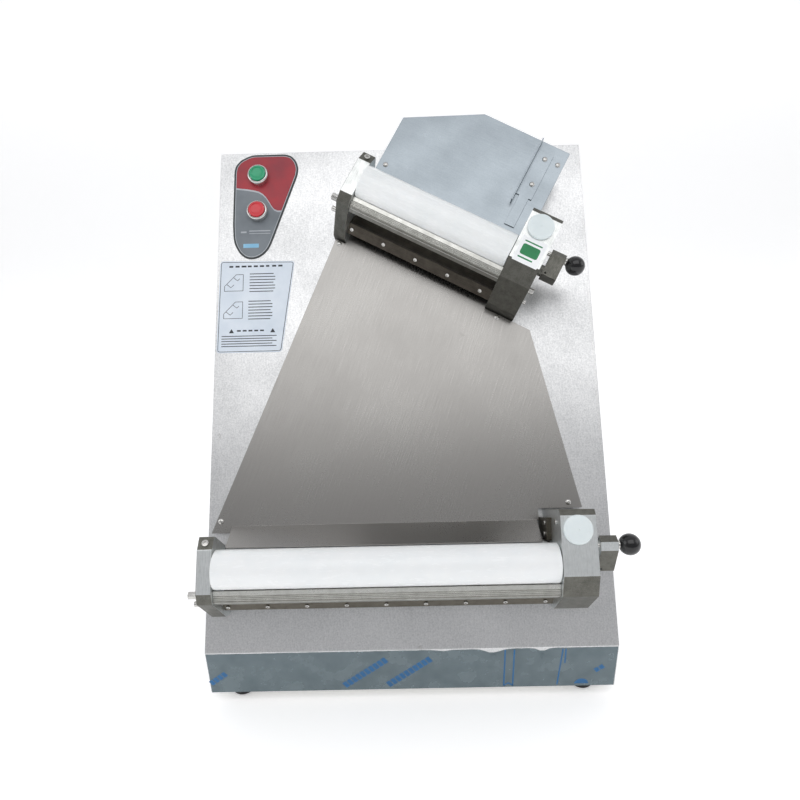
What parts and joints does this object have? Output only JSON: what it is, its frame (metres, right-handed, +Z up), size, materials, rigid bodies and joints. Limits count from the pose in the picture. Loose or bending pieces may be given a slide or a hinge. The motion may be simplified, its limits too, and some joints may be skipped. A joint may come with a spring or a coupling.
{
  "type": "dough sheeter",
  "caption": "Counter-top two-pass dough sheeter: wedge steel casing, inclined upper roller pair, chute, level lower roller pair, thickness levers and start and stop buttons.",
  "frame": {"origin": "centre of the bounding box at the bottom of the feet", "axes": "+Z up, -Y towards the user, +X to the user's right"},
  "size_m": [0.5273, 0.4596, 0.7098],
  "materials": {
    "casing_steel": "mottled matt stainless sheet",
    "plate_steel": "brushed stainless sheet",
    "infeed_steel": "smooth brushed stainless sheet",
    "block_aluminium": "machined, lightly brushed",
    "guard_aluminium": "extruded, satin",
    "roller_plastic": "white food-grade plastic, satin",
    "plug_plastic": "white plastic, satin",
    "bright_steel": "ground steel",
    "gear_steel": "cut steel",
    "zinc_screw": "bright zinc plated",
    "black_knob": "black phenolic, glossy",
    "overlay_film": "printed film",
    "label_film": "printed film",
    "bezel_metal": "satin chromed",
    "green_plastic": "glossy",
    "red_plastic": "glossy",
    "black_plastic": "moulded",
    "grey_plastic": "moulded",
    "foot_rubber": "matt",
    "belt_rubber": "matt",
    "motor_paint": "hammered grey"
  },
  "bodies": {
    "casing_body": {"casing": "casing_steel", "base_plate": "casing_steel", "back_cover": "casing_steel", "feet": "foot_rubber", "cable_gland": "black_plastic", "terminal_box": "grey_plastic", "control_overlay": "overlay_film", "instruction_label": "label_film", "start_bezel": "bezel_metal", "stop_bezel": "bezel_metal", "switch_blocks": "black_plastic", "chute_plate": "plate_steel", "infeed_plate": "infeed_steel", "infeed_bracket": "infeed_steel", "dome_screws": "zinc_screw", "socket_screws": "zinc_screw", "lower_left_block": "block_aluminium", "lower_gear_housing": "block_aluminium", "lower_cheek_plate": "plate_steel", "lower_finger_guard": "guard_aluminium", "lower_scraper": "plate_steel", "lower_face_plug": "plug_plastic", "lower_drive_belt": "belt_rubber", "lower_gearmotor": "motor_paint", "upper_left_block": "block_aluminium", "upper_gear_housing": "block_aluminium", "upper_cheek_plate": "plate_steel", "upper_finger_guard": "guard_aluminium", "upper_scraper": "plate_steel", "upper_face_plug": "plug_plastic", "upper_drive_belt": "belt_rubber", "upper_gearmotor": "motor_paint"},
    "lower_front_rolls": {"lower_front_roller": "roller_plastic", "lower_front_shaft": "bright_steel", "lower_front_gear": "gear_steel"},
    "lower_rear_rolls": {"lower_rear_roller": "roller_plastic", "lower_rear_shaft": "bright_steel", "lower_drive_gear": "gear_steel"},
    "lower_transfer_wheel": {"lower_transfer_gear": "gear_steel"},
    "lower_idler_wheel": {"lower_idler_gear": "gear_steel"},
    "lower_bearing_carriage": {"lower_bearing_slides": "bright_steel"},
    "lower_lever_arm": {"lower_thickness_lever": "block_aluminium"},
    "lower_plunger": {"lower_index_pin": "bright_steel", "lower_lever_knob": "black_knob"},
    "lower_motor_wheel": {"lower_motor_pulley": "gear_steel"},
    "upper_front_rolls": {"upper_front_roller": "roller_plastic", "upper_front_shaft": "bright_steel", "upper_front_gear": "gear_steel"},
    "upper_rear_rolls": {"upper_rear_roller": "roller_plastic", "upper_rear_shaft": "bright_steel", "upper_drive_gear": "gear_steel"},
    "upper_transfer_wheel": {"upper_transfer_gear": "gear_steel"},
    "upper_idler_wheel": {"upper_idler_gear": "gear_steel"},
    "upper_bearing_carriage": {"upper_bearing_slides": "bright_steel"},
    "upper_lever_arm": {"upper_thickness_lever": "block_aluminium"},
    "upper_plunger": {"upper_index_pin": "bright_steel", "upper_lever_knob": "black_knob"},
    "upper_motor_wheel": {"upper_motor_pulley": "gear_steel"},
    "start_cap": {"start_button": "green_plastic"},
    "stop_cap": {"stop_button": "red_plastic"}
  },
  "joints": [
    {"name": "lower_rear_roller_spin", "type": "hinge", "parent": "casing_body", "child": "lower_rear_rolls", "pos_m": [0.17065, -0.16216, 0.18396], "axis": [1, 0, 0], "continuous": true},
    {"name": "lower_motor_spin", "type": "hinge", "parent": "casing_body", "child": "lower_motor_wheel", "pos_m": [0.17065, -0.06932, 0.12818], "axis": [1, 0, 0], "continuous": true},
    {"name": "lower_transfer_spin", "type": "hinge", "parent": "casing_body", "child": "lower_transfer_wheel", "pos_m": [0.17065, -0.1828, 0.17144], "axis": [1, 0, 0], "continuous": true},
    {"name": "lower_idler_spin", "type": "hinge", "parent": "casing_body", "child": "lower_idler_wheel", "pos_m": [0.17065, -0.18144, 0.19555], "axis": [1, 0, 0], "continuous": true},
    {"name": "lower_lever_turn", "type": "hinge", "parent": "casing_body", "child": "lower_lever_arm", "pos_m": [0.17065, -0.19533, 0.20389], "axis": [1, 0, 0], "range_deg": [-48, 12]},
    {"name": "lower_gap_slide", "type": "slide", "parent": "casing_body", "child": "lower_bearing_carriage", "axis": [0, -0.8572, 0.515], "range_m": [-0.00066, 0.00264]},
    {"name": "lower_front_roller_spin", "type": "hinge", "parent": "lower_bearing_carriage", "child": "lower_front_rolls", "pos_m": [0.17065, -0.20275, 0.20835], "axis": [1, 0, 0], "continuous": true},
    {"name": "lower_knob_pull", "type": "slide", "parent": "lower_lever_arm", "child": "lower_plunger", "axis": [1, 0, 0], "range_m": [0, 0.005], "stiffness_N_per_m": 900, "springref_m": -0.003},
    {"name": "upper_rear_roller_spin", "type": "hinge", "parent": "casing_body", "child": "upper_rear_rolls", "pos_m": [0.13591, 0.03569, 0.51323], "axis": [0.8788, -0.2458, -0.409], "continuous": true},
    {"name": "upper_motor_spin", "type": "hinge", "parent": "casing_body", "child": "upper_motor_wheel", "pos_m": [0.13591, 0.12852, 0.45745], "axis": [0.8788, -0.2458, -0.409], "continuous": true},
    {"name": "upper_transfer_spin", "type": "hinge", "parent": "casing_body", "child": "upper_transfer_wheel", "pos_m": [0.12571, 0.01637, 0.50292], "axis": [0.8788, -0.2458, -0.409], "continuous": true},
    {"name": "upper_idler_spin", "type": "hinge", "parent": "casing_body", "child": "upper_idler_wheel", "pos_m": [0.13591, 0.0164, 0.52481], "axis": [0.8788, -0.2458, -0.409], "continuous": true},
    {"name": "upper_lever_turn", "type": "hinge", "parent": "casing_body", "child": "upper_lever_arm", "pos_m": [0.13591, 0.00251, 0.53316], "axis": [0.8788, -0.2458, -0.409], "range_deg": [0, 60]},
    {"name": "upper_gap_slide", "type": "slide", "parent": "casing_body", "child": "upper_bearing_carriage", "axis": [0, -0.8572, 0.515], "range_m": [-0.0033, 0]},
    {"name": "upper_front_roller_spin", "type": "hinge", "parent": "upper_bearing_carriage", "child": "upper_front_rolls", "pos_m": [0.13591, -0.00717, 0.53898], "axis": [0.8788, -0.2458, -0.409], "continuous": true},
    {"name": "upper_knob_pull", "type": "slide", "parent": "upper_lever_arm", "child": "upper_plunger", "axis": [0.8788, -0.2458, -0.409], "range_m": [0, 0.005], "stiffness_N_per_m": 900, "springref_m": -0.003},
    {"name": "start_press", "type": "slide", "parent": "casing_body", "child": "start_cap", "axis": [0, 0.8572, -0.515], "range_m": [0, 0.0025], "stiffness_N_per_m": 500, "springref_m": -0.002},
    {"name": "stop_press", "type": "slide", "parent": "casing_body", "child": "stop_cap", "axis": [0, 0.8572, -0.515], "range_m": [0, 0.0025], "stiffness_N_per_m": 500, "springref_m": -0.002}
  ],
  "couplings": [
    {"joint": "lower_motor_spin", "follows": "lower_rear_roller_spin", "ratio": 1},
    {"joint": "lower_transfer_spin", "follows": "lower_rear_roller_spin", "ratio": -1},
    {"joint": "lower_idler_spin", "follows": "lower_rear_roller_spin", "ratio": 1},
    {"joint": "lower_lever_turn", "follows": "lower_gap_slide", "rad_per_m": -317.33},
    {"joint": "lower_front_roller_spin", "follows": "lower_rear_roller_spin", "ratio": -1},
    {"joint": "upper_motor_spin", "follows": "upper_rear_roller_spin", "ratio": 1},
    {"joint": "upper_transfer_spin", "follows": "upper_rear_roller_spin", "ratio": -1},
    {"joint": "upper_idler_spin", "follows": "upper_rear_roller_spin", "ratio": 1},
    {"joint": "upper_lever_turn", "follows": "upper_gap_slide", "rad_per_m": -317.33},
    {"joint": "upper_front_roller_spin", "follows": "upper_rear_roller_spin", "ratio": -1}
  ]
}
